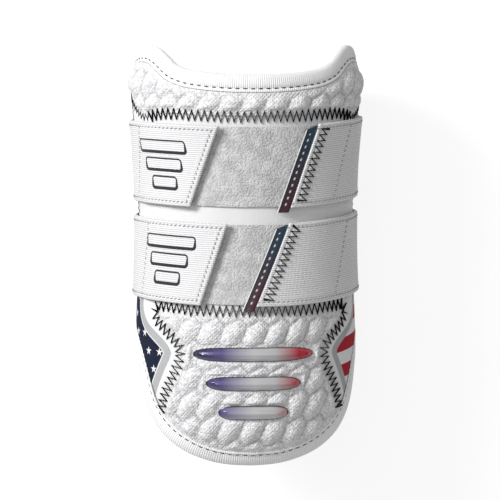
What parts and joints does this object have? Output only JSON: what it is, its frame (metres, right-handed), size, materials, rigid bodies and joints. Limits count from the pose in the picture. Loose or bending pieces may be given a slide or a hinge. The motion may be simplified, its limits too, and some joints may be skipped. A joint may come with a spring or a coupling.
{
  "type": "elbow guard",
  "caption": "Padded baseball elbow guard that wraps an arm, with a quilted front, bound edge, printed side panels, raised ribs and wide closing straps.",
  "frame": {"origin": "middle of the outline seen from the front, on the surface that the backs of the closed straps rest on", "axes": "+Y along the arm from the tongue to the collar, +Z out through the front, +X across the guard"},
  "size_m": [0.1266, 0.2242, 0.0966],
  "materials": {
    "core_foam": "lining cloth over moulded foam",
    "white_binding": "ribbed white tape",
    "white_quilting": "white knit embossed with domed cells",
    "white_cover": "smooth white knit",
    "navy_print": "knit printed navy with white stars, with a grey border",
    "striped_print": "knit printed with red and white stripes, with a grey border",
    "loop_pile": "brushed loop pile",
    "white_elastic": "white elastic webbing with fine ribs",
    "satin_label": "satin ribbon that fades from dark teal to maroon",
    "moulded_rib": "gloss, fading from navy through silver to red"
  },
  "bodies": {
    "root": {"pad_core": "core_foam", "edge_binding": "white_binding", "collar_quilt": "white_quilting", "middle_cover": "white_cover", "tongue_quilt": "white_quilting", "left_side_panel": "navy_print", "right_side_panel": "striped_print", "upper_loop_strip": "loop_pile", "upper_strap": "white_elastic", "upper_label": "satin_label", "lower_loop_strip": "loop_pile", "lower_strap": "white_elastic", "lower_label": "satin_label", "upper_rib": "moulded_rib", "middle_rib": "moulded_rib", "lower_rib": "moulded_rib"}
  },
  "joints": []
}
